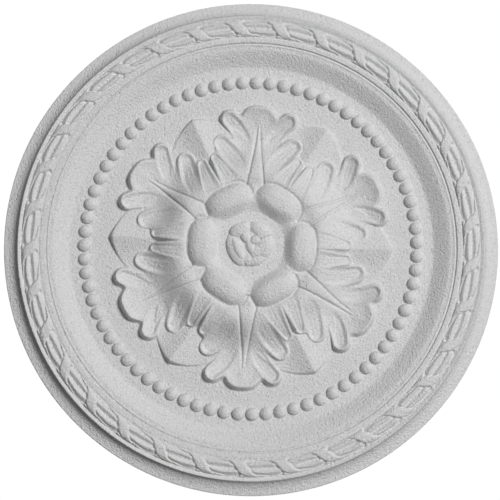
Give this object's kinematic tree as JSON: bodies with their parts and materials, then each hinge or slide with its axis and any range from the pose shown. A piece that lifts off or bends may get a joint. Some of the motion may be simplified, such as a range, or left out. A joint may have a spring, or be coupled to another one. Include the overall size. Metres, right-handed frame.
{
  "type": "ceiling rose",
  "caption": "Round ceiling rose with a rope-moulded rim, a ring of beads, and acanthus leaves round an open flower; flat on the back.",
  "frame": {"origin": "middle of the flat back, in the plane of the ceiling", "axes": "+Z up, out of the flat back into the ceiling; the ornament hangs towards -Z. Read from below with +X to the right, -Y is up."},
  "size_m": [0.4, 0.4, 0.028],
  "materials": {
    "foam": "moulded white expanded polystyrene, matte, with a fine fused-bead grain"
  },
  "bodies": {
    "root": {"ceiling_rose": "foam"}
  },
  "joints": []
}
